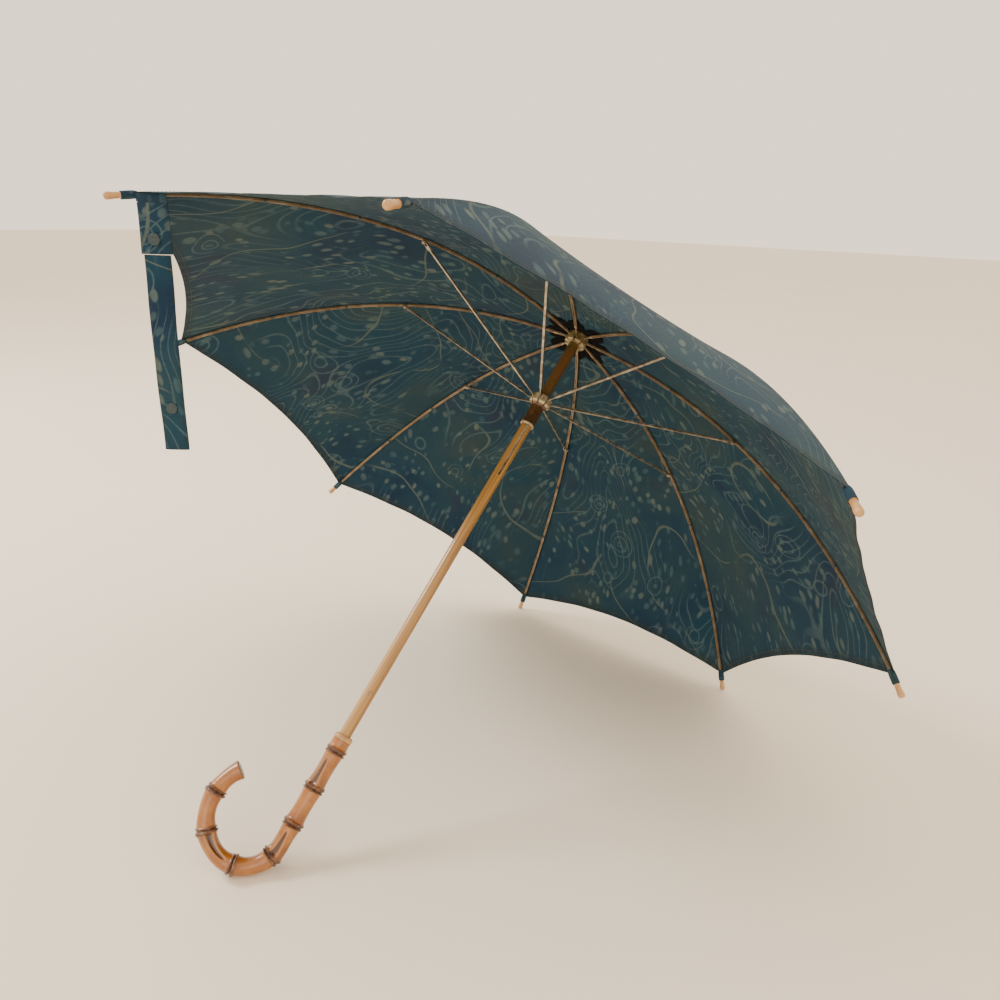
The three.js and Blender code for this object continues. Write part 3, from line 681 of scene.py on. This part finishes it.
# ------------------------------------------------------------------ tips
# Small turned caps of pale wood, pressed on the ribs' ends; the cloth's corners are sewn to them.
tip_profile = [(0.0022, 0.0088), (0.0024, 0.0), (0.0027, -0.0001), (0.0030, 0.0003), (0.0031, 0.0012)]
tip_profile += [(0.0030, 0.0082), (0.00275, 0.0092), (0.0024, 0.0098), (0.0024, 0.0106), (0.00265, 0.0112)]
tip_profile += [(0.00265, 0.0150), (0.0030, 0.0166), (0.0031, 0.0185), (0.0030, 0.0206), (0.0025, 0.0216)]
tip_profile += [(0.0014, 0.0220)]
tip_end_z = rib_line(TIP_RADIUS)[0]
for i in RIBS:
    ahead = outward[i] * math.cos(tip_slope) - up * math.sin(tip_slope)
    start = at_rib(i, TIP_RADIUS, tip_end_z) - ahead * TIP_LENGTH
    tip = turned(f"tip_cap_{i}", start, ahead, tip_profile, pale_wood, sides=32, angle=50)
    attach(tip, f"rib_{i}")
    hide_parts(f"tip_{i}")

# ------------------------------------------------------------------ canopy
# Eight gores of printed cotton, cut with a curved hem, seamed over the ribs and pulled tight by
# them. Each gore is drawn as two halves, one on each of its ribs, that meet along its middle.
CLOTH_LIFT = RIB_HEIGHT / 2 + 0.0010
CLOTH = 0.00045
CROWN_RADIUS = 0.0072
SCALLOP = 0.015
HEM_START = TIP_RADIUS - TIP_LENGTH * math.cos(tip_slope) + 0.0010
SAG = 0.0042
HEM_WIDTH = 0.006
GORE_RUN = 0.41  # crown to hem, as seen along the shaft

cloth = Finish("printed_cotton", Sheen_Weight=0.05, Sheen_Roughness=0.45, Specular_IOR_Level=0.16)
cloth.set("Sheen Tint", (0.55, 0.72, 0.80))
uv = cloth.node("UVMap", settings={"uv_map": "cut"})
warp_field = cloth.node("TexNoise", output=1, Vector=uv, Scale=5.5, Detail=2.0)
bent = cloth.node(
    "VectorMath", settings={"operation": "MULTIPLY_ADD"}, i0=warp_field, i1=(0.11, 0.11, 0), i2=uv
)

# patches of teal, ink blue, olive grey and a little plum, bounded softly as in a hand print
patch = cloth.cloud(bent, 7.0, detail=3.0, roughness=0.6)
patch_two = cloth.cloud(cloth.stretch(bent, (1, 1, 1), (0, 0, 1.1)), 11.0, detail=3.0, roughness=0.6)
tone = cloth.ramp(
    patch,
    (0.32, (0.0070, 0.026, 0.054)),
    (0.46, (0.0110, 0.042, 0.068)),
    (0.56, (0.0180, 0.050, 0.066)),
    (0.70, (0.0340, 0.056, 0.058)),
)
tone = cloth.blend(patch_two.step(0.56, 0.7) * 0.55, tone, (0.024, 0.030, 0.054))
tone = cloth.blend(patch_two.step(0.44, 0.32) * 0.6, tone, (0.006, 0.046, 0.074))

# long thin veins: the contour lines of a slow field, broken in places
field = cloth.cloud(bent, 3.4, detail=1.0)
vein = (((field * 9.0).fraction() - 0.5).size()).step(0.020, 0.008)
broken = cloth.cloud(uv, 14.0, detail=2.0).step(0.40, 0.52)
veins = vein * broken
field_two = cloth.cloud(cloth.stretch(bent, (1.6, 0.7, 1), (0, 0, 0.7)), 7.5, detail=0.5)
hatch_zone = cloth.cloud(uv, 6.0, detail=1.0).step(0.40, 0.50)
hatch = (((field_two * 26.0).fraction() - 0.5).size()).step(0.10, 0.05) * hatch_zone

# rows of small brushed dabs, gathered in drifts
brushed = cloth.stretch(bent, (1.0, 0.62, 1), (0, 0, 0.5))
dab_cell = cloth.node("TexVoronoi", output="Distance", Vector=brushed, Scale=105.0, Randomness=0.9)
dab_tint = cloth.node("TexVoronoi", output="Color", Vector=brushed, Scale=105.0, Randomness=0.9)
dab_chance = cloth.node("SeparateColor", output=0, Color=dab_tint)
drift = cloth.cloud(uv, 9.0, detail=2.0).step(0.30, 0.46)
dabs = dab_cell.step(0.42, 0.24) * dab_chance.step(0.22, 0.34) * drift
dab_soft = 0.35 + dab_chance * 0.65

# small open rings and spirals
ring_cell = cloth.node("TexVoronoi", output="Distance", Vector=bent, Scale=19.0, Randomness=1.0)
ring_tint = cloth.node("TexVoronoi", output="Color", Vector=bent, Scale=19.0, Randomness=1.0)
ring_pick = cloth.node("SeparateColor", output=1, Color=ring_tint)
rings_drawn = (((ring_cell * 9.0).fraction() - 0.5).size()).step(0.16, 0.06)
rings_drawn = rings_drawn * ring_cell.step(0.36, 0.30) * ring_pick.step(0.62, 0.66)

dye = cloth.cloud(uv, 240.0, detail=3.0, roughness=0.7)
line_tone = cloth.blend(dye, (0.040, 0.085, 0.100), (0.135, 0.175, 0.165))
dab_tone = cloth.blend(dab_chance, (0.022, 0.095, 0.130), (0.115, 0.140, 0.120))
printed = cloth.blend(dabs * dab_soft * 0.85, tone, dab_tone)
printed = cloth.blend(hatch * 0.50 * (0.5 + dye), printed, line_tone)
printed = cloth.blend(rings_drawn * 0.55 * (0.5 + dye), printed, line_tone)
printed = cloth.blend(veins * 0.80 * (0.5 + dye), printed, (0.105, 0.125, 0.100))

# the weave: warp and weft threads, with slubs that run along the weft
across_threads = cloth.node("SeparateXYZ", output=0, Vector=uv)
along_threads = cloth.node("SeparateXYZ", output=1, Vector=uv)
THREADS = 7800.0  # radians of the weave to the metre
weave = (across_threads * THREADS).sine() * 0.5 + (along_threads * THREADS).sine() * 0.5
slub = cloth.cloud(cloth.stretch(uv, (900, 60, 1)), 1.0, detail=2.0) * 0.5
slub = slub + cloth.cloud(cloth.stretch(uv, (60, 900, 1)), 1.0, detail=2.0) * 0.5
shade = cloth.blend((slub - 0.5) * 1.6 + 0.5, (0.50, 0.58, 0.66), (1.00, 1.06, 1.14))
woven = cloth.node(
    "Mix", output=2, settings={"data_type": "RGBA", "blend_type": "MULTIPLY"}, i0=1.0, i6=printed, i7=shade
)
edge_mark = cloth.node("Attribute", output="Fac", settings={"attribute_name": "edge"})
woven = cloth.blend(edge_mark * 0.6, woven, (0.012, 0.022, 0.028))
cloth.set("Base Color", woven)
cloth.set("Roughness", 0.62 + slub * 0.3)
cloth.relief(weave * 0.35 + slub * 1.4, 0.00022, 0.8)


def crown_lift(radius):
    """How far the cloth climbs over the notch."""
    return 0.0034 * (1 - smooth(radius, 0.013, 0.024))


def hem_radius(turn):
    """Where the curved hem lies, from a rib (turn 0) to the gore's middle (turn 1)."""
    return HEM_START - SCALLOP * (1 - (1 - turn) ** 2)


def cloth_point(turn, share, i, side, lift=0.0):
    """A point of a half gore: turn from its rib (0) to the gore's middle (1), share from crown to hem."""
    angle = turn * HALF_GORE
    radius = CROWN_RADIUS + share * (hem_radius(turn) - CROWN_RADIUS)
    # taut between the ribs, drawn in a little towards the shaft, with faint pulls near seam and hem
    belly = SAG * math.sin(math.pi * min(1.0, share * 1.04)) * (1 - (1 - turn) ** 2)
    seam_pull = 0.00035 * math.sin(share * 95 + i) * math.exp(-turn * 9) * smooth(turn, 0.0, 0.05)
    hem_pull = 0.0006 * math.sin(turn * 16 + 1.3 * i) * smooth(share, 0.8, 1.0) * math.sin(math.pi * turn)
    r, z = over_rib(radius, CLOTH_LIFT + lift - belly + seam_pull + hem_pull)
    z += crown_lift(radius)
    shrink = math.cos(HALF_GORE) / math.cos(angle - HALF_GORE)
    along = r * shrink
    return at_rib(i, along * math.cos(angle), z, side * along * math.sin(angle)), radius


def two_faced(rows, columns):
    """Faces of a thin cloth: a grid of points below, the same grid above, and the rim between them."""
    width = columns + 1
    size = (rows + 1) * width
    faces = []
    for row in range(rows):
        for column in range(columns):
            a = row * width + column
            faces.append((a, a + 1, a + 1 + width, a + width))
            b = a + size
            faces.append((b, b + width, b + 1 + width, b + 1))
    rim = list(range(width)) + [r * width + columns for r in range(1, rows + 1)]
    rim += [rows * width + c for c in range(columns - 1, -1, -1)]
    rim += [r * width for r in range(rows - 1, 0, -1)]
    for a, b in zip(rim, rim[1:] + rim[:1]):
        faces.append((b, a, a + size, b + size))
    return faces


def mark_cloth(piece, uvs, edges):
    """Give each point its place on the flat print, and how much it is darkened as an edge or a seam."""
    coords = piece.data.uv_layers.new(name="cut")
    for loop in piece.data.loops:
        coords.data[loop.index].uv = uvs[loop.vertex_index]
    layer = piece.data.attributes.new("edge", "FLOAT", "POINT")
    layer.data.foreach_set("value", edges)


ROWS, COLUMNS = 110, 24


def half_gore(i, side):
    name = f"gore_{i}{'a' if side > 0 else 'b'}"
    layers = []
    uvs, edges = [], []
    gore = i if side < 0 else (i - 2) % 8 + 1  # the two halves of one gore share its print
    for lift in (-CLOTH / 2, CLOTH / 2):
        layer = []
        for row in range(ROWS + 1):
            share = (row / ROWS) ** 1.15
            for column in range(COLUMNS + 1):
                turn = column / COLUMNS
                point, radius = cloth_point(turn, share, i, side, lift)
                layer.append(point)
                # the print's own flat coordinates: distance from the gore's middle, and along it
                from_middle = (1 - turn) * radius * math.sin(HALF_GORE) * -side
                uvs.append((from_middle + gore * 1.7, radius * 1.1 + gore * 0.9))
                near_hem = smooth(share * GORE_RUN, GORE_RUN - HEM_WIDTH, GORE_RUN - HEM_WIDTH + 0.0012)
                seam = 1 - smooth(turn * radius * HALF_GORE, 0.0009, 0.0022)
                edges.append(max(near_hem, 0.5 * seam))
        layers.append(layer)
    piece = finished(name, layers[0] + layers[1], two_faced(ROWS, COLUMNS), cloth, 60)
    mark_cloth(piece, uvs, edges)
    area = sum(face.area for face in piece.data.polygons) / 2
    return piece, area


for i in RIBS:
    for side in (1, -1):
        piece, area = half_gore(i, side)
        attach(piece, f"rib_{i}")
        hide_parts(f"canopy_{i}")
        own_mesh(piece)

# the hem is turned under and held by a running stitch, laid along it with geometry nodes
thread = Finish("dark_thread", Roughness=0.8)
at = thread.place()
ply = thread.cloud(thread.stretch(at, (2600, 2600, 2600)), 1.0, detail=2.0)
thread.set("Base Color", thread.blend(ply, (0.030, 0.050, 0.060), (0.085, 0.115, 0.125)))
thread.relief(ply, 0.0001, 0.6)


def stitch_tree():
    tree = bpy.data.node_groups.new("running_stitch", "GeometryNodeTree")
    face = tree.interface
    face.new_socket("Line", in_out="INPUT", socket_type="NodeSocketGeometry")
    face.new_socket("Pitch", in_out="INPUT", socket_type="NodeSocketFloat")
    face.new_socket("Stitch Size", in_out="INPUT", socket_type="NodeSocketVector")
    face.new_socket("Thread", in_out="INPUT", socket_type="NodeSocketMaterial")
    face.new_socket("Stitches", in_out="OUTPUT", socket_type="NodeSocketGeometry")
    given = tree.nodes.new("NodeGroupInput")
    result = tree.nodes.new("NodeGroupOutput")
    curve = tree.nodes.new("GeometryNodeMeshToCurve")
    spaced = tree.nodes.new("GeometryNodeResampleCurve")
    spaced.mode = "LENGTH"
    tangent = tree.nodes.new("GeometryNodeInputTangent")
    turned_along = tree.nodes.new("FunctionNodeAlignRotationToVector")
    turned_along.axis = "X"
    bead = tree.nodes.new("GeometryNodeMeshIcoSphere")
    bead.inputs["Radius"].default_value = 0.5
    bead.inputs["Subdivisions"].default_value = 2
    laid = tree.nodes.new("GeometryNodeInstanceOnPoints")
    real = tree.nodes.new("GeometryNodeRealizeInstances")
    painted = tree.nodes.new("GeometryNodeSetMaterial")
    for source, slot in (
        (given.outputs["Line"], curve.inputs["Mesh"]),
        (curve.outputs["Curve"], spaced.inputs["Curve"]),
        (given.outputs["Pitch"], spaced.inputs["Length"]),
        (spaced.outputs["Curve"], laid.inputs["Points"]),
        (bead.outputs["Mesh"], laid.inputs["Instance"]),
        (tangent.outputs["Tangent"], turned_along.inputs["Vector"]),
        (turned_along.outputs["Rotation"], laid.inputs["Rotation"]),
        (given.outputs["Stitch Size"], laid.inputs["Scale"]),
        (laid.outputs["Instances"], real.inputs["Geometry"]),
        (real.outputs["Geometry"], painted.inputs["Geometry"]),
        (given.outputs["Thread"], painted.inputs["Material"]),
        (painted.outputs["Geometry"], result.inputs["Stitches"]),
    ):
        tree.links.new(source, slot)
    return tree


stitches = stitch_tree()


def sewn(name, lines, pitch, size):
    """Running stitches along lines of points, as one mesh."""
    points, edges = [], []
    for line in lines:
        start = len(points)
        points += [tuple(p) for p in line]
        edges += [(start + k, start + k + 1) for k in range(len(line) - 1)]
    mesh = bpy.data.meshes.new(name)
    mesh.from_pydata(points, edges, [])
    piece = bpy.data.objects.new(name, mesh)
    bpy.context.scene.collection.objects.link(piece)
    maker = piece.modifiers.new("stitches", "NODES")
    maker.node_group = stitches
    sockets = {item.name: item.identifier for item in stitches.interface.items_tree if item.in_out == "INPUT"}
    maker[sockets["Pitch"]] = pitch
    maker[sockets["Stitch Size"]] = size
    maker[sockets["Thread"]] = thread.material
    made = bpy.data.meshes.new_from_object(piece.evaluated_get(bpy.context.evaluated_depsgraph_get()))
    piece.modifiers.clear()
    piece.data = made
    made.shade_smooth()
    return piece


SEAM_STEPS = 70
for i in RIBS:
    lines = []
    for side in (1, -1):
        for face in (-1, 1):
            line = []
            for column in range(COLUMNS + 1):
                turn = 0.03 + 0.96 * column / COLUMNS
                hem = hem_radius(turn)
                share = (hem - HEM_WIDTH * 0.75 - CROWN_RADIUS) / (hem - CROWN_RADIUS)
                line.append(cloth_point(turn, share, i, side, face * CLOTH / 2)[0])
            lines.append(line)
        seam = []
        for k in range(SEAM_STEPS + 1):
            turn = 0.0035 / (0.02 + 0.4 * k / SEAM_STEPS)
            seam.append(cloth_point(turn, 0.06 + 0.92 * k / SEAM_STEPS, i, side, CLOTH / 2)[0])
        lines.append(seam)
    row = sewn(f"hem_stitches_{i}", lines, 0.0031, (0.0021, 0.00042, 0.00042))
    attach(row, f"rib_{i}")
    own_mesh(row)

# each rib is tied to its seam with a few turns of thread, and each tip has a pocket of the cloth
TIE_RADII = [0.118, 0.262, 0.335]
POCKET_SIDES = 28
for i in RIBS:
    ahead = outward[i] * math.cos(tip_slope) - up * math.sin(tip_slope)
    start = at_rib(i, TIP_RADIUS, tip_end_z) - ahead * TIP_LENGTH
    rise = up * math.cos(tip_slope) + outward[i] * math.sin(tip_slope)
    for number, radius in enumerate(TIE_RADII):
        z, slope = rib_line(radius)
        along = outward[i] * math.cos(slope) - up * math.sin(slope)
        profile = []
        for turn in range(5):
            low = 0.0005 * turn - 0.00125
            profile += [(0.00192, low), (0.0021, low + 0.00012), (0.0021, low + 0.00036)]
        profile.append((0.00192, 0.00125))
        tie = turned(f"rib_tie_{i}_{number}", at_rib(i, radius, z), along, profile, thread, sides=20)
        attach(tie, f"rib_{i}")
    rings, uvs, edges = [], [], []
    for distance, size in (
        (-0.0045, 0.0019), (-0.0035, 0.0027), (-0.0010, 0.0033), (0.0030, 0.00345), (0.0068, 0.0034),
        (0.0086, 0.00345), (0.0092, 0.0034), (0.0094, 0.00318), (0.0086, 0.00312),
    ):
        ring = []
        for k in range(POCKET_SIDES):
            turn = 2 * math.pi * k / POCKET_SIDES
            fold = 1 + 0.035 * math.sin(3 * turn + i) * smooth(distance, -0.004, 0.002)
            offset = across[i] * (math.cos(turn) * size * fold) + rise * (math.sin(turn) * size * fold)
            ring.append(start + ahead * distance + offset)
            uvs.append((turn * 0.0034 + i * 0.6, distance + 5.3))
            edges.append(0.55 if 0.0060 < distance < 0.0090 else 0.2)
        rings.append(ring)
    pocket = skin(f"tip_pocket_{i}", rings, cloth, caps=False, angle=70)
    mark_cloth(pocket, uvs, edges)
    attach(pocket, f"rib_{i}")

# ------------------------------------------------------------------ rosette and crown
# A small black cloth star under the crown keeps the notch's teeth from chafing the canopy. It is
# tacked to each rib, so it is made of eight lobes that go with the ribs.
black_cloth = Finish("black_cloth", Roughness=0.95, Specular_IOR_Level=0.1)
at = black_cloth.place()
lint = black_cloth.cloud(at, 900, detail=3.0, roughness=0.7)
black_cloth.set("Base Color", black_cloth.blend(lint, (0.0016, 0.0016, 0.0020), (0.0060, 0.0064, 0.0075)))
black_cloth.relief(lint, 0.0002, 0.7)

LOBE_REACH = [0.043, 0.039, 0.044, 0.038, 0.042, 0.040, 0.044, 0.039]
LOBE_ROOT = 0.0068
LOBE_LIFTS = (-0.00125, -0.00075)  # its two faces, just under the canopy
for i in RIBS:
    rows, columns = 14, 24
    layers = []
    for lift in LOBE_LIFTS:
        layer = []
        for row in range(rows + 1):
            for column in range(columns + 1):
                turn = 2 * column / columns - 1  # from one gore's middle, over the rib, to the next
                side = 1 if turn >= 0 else -1
                reach_here = LOBE_REACH[i - 1] * (0.70 + 0.30 * math.cos(turn * math.pi / 2) ** 0.6)
                reach_here += 0.0012 * math.sin(9 * turn + i)
                radius = LOBE_ROOT + (reach_here - LOBE_ROOT) * row / rows
                share = max(0.0, (radius - CROWN_RADIUS) / (hem_radius(abs(turn)) - CROWN_RADIUS))
                layer.append(cloth_point(abs(turn), share, i, side, lift)[0])
        layers.append(layer)
    lobe = finished(f"rosette_lobe_{i}", layers[0] + layers[1], two_faced(rows, columns), black_cloth, 60)
    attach(lobe, f"rib_{i}")
    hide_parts("rosette")
    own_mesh(lobe)

# ------------------------------------------------------------------ ferrule
# A tapered wooden end above the crown, with a metal cap; a cloth washer clamps the crown to the shaft.
refined("ferrule", honey_wood, edge=0.0003)
refined("crown_washer", black_cloth, edge=0.0003)

# ------------------------------------------------------------------ tie strap
# A strip of the canopy's cloth, folded double and top-stitched. Its upper part is a wider loop sewn
# to the hem beside tip 1, and a press stud near the tail's end closes it round the shut canopy.
STRAP_TWIST = math.radians(40)
STRAP_COLUMNS = 10


def strip(name, node, width, thickness, rows=40, curl=0.0, taper=0.0, shift=0.0):
    """A hanging band: soft rolled edges, a slight curl across and a faint wave down its length."""
    low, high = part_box(node)
    centre = (low + high) / 2
    length = high.z - low.z
    facing = Vector((math.cos(STRAP_TWIST), math.sin(STRAP_TWIST), 0))
    sideways = Vector((-math.sin(STRAP_TWIST), math.cos(STRAP_TWIST), 0))
    rings = []
    uvs, edges = [], []
    outline = []
    half = width / 2
    for c in range(STRAP_COLUMNS + 1):
        outline.append((-half + width * c / STRAP_COLUMNS, 1))
    for c in range(STRAP_COLUMNS, -1, -1):
        outline.append((-half + width * c / STRAP_COLUMNS, -1))
    for r in range(rows + 1):
        drop = length * r / rows
        ring = []
        for y, face in outline:
            y_here = y * (1 - taper * r / rows)
            rim = max(0.0, abs(y) / half - 0.86) / 0.14
            thick = thickness / 2 * (1 - 0.65 * rim**2)
            wave = 0.0011 * math.sin(drop * 38 + shift) + 0.0005 * math.sin(drop * 90 + y * 60)
            bow = curl * ((y / half) ** 2 - 0.4)
            middle = Vector((centre.x, centre.y, high.z - drop))
            ring.append(middle + facing * (wave + bow + face * thick) + sideways * y_here)
            uvs.append((y + 31.3 + shift, drop + 7.1 * shift))
            beside = smooth(abs(y), half - 0.0030, half - 0.0024)
            below = smooth(drop, length - 0.003, length - 0.002)
            edges.append(0.35 * max(beside, below))
        rings.append(ring)
    band = skin(name, rings, cloth, angle=60)
    mark_cloth(band, uvs, edges)
    return band


for name, node, width, thickness, extra in (
    ("strap_sewn_end", "strap_tab", 0.0250, 0.0022, {"rows": 8, "shift": 0.4}),
    ("strap_band", "strap_loop", 0.0252, 0.0022, {"curl": 0.0008, "shift": 0.9}),
    ("strap_end", "strap_tail", 0.0222, 0.0013, {"rows": 90, "curl": 0.0007, "taper": 0.05, "shift": 1.7}),
):
    band = strip(name, node, width, thickness, **extra)
    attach(band, nodes[node]["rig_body"])
    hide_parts(node)
    low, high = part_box(node)
stud_metal = Finish("enamelled_stud", Metallic=0.5, Coat_Weight=0.3)
scuff = stud_metal.cloud(stud_metal.place(), 1500, detail=3.0)
stud_tone = stud_metal.ramp(scuff, (0.4, (0.010, 0.022, 0.030)), (0.62, (0.035, 0.060, 0.070)))
stud_metal.set("Base Color", stud_tone)
stud_metal.set("Roughness", 0.28 + scuff * 0.25)
stud_metal.relief(scuff, 0.00004, 0.5)
for node in ("snap_socket", "snap_stud"):
    refined(node, stud_metal, edge=0.0004)
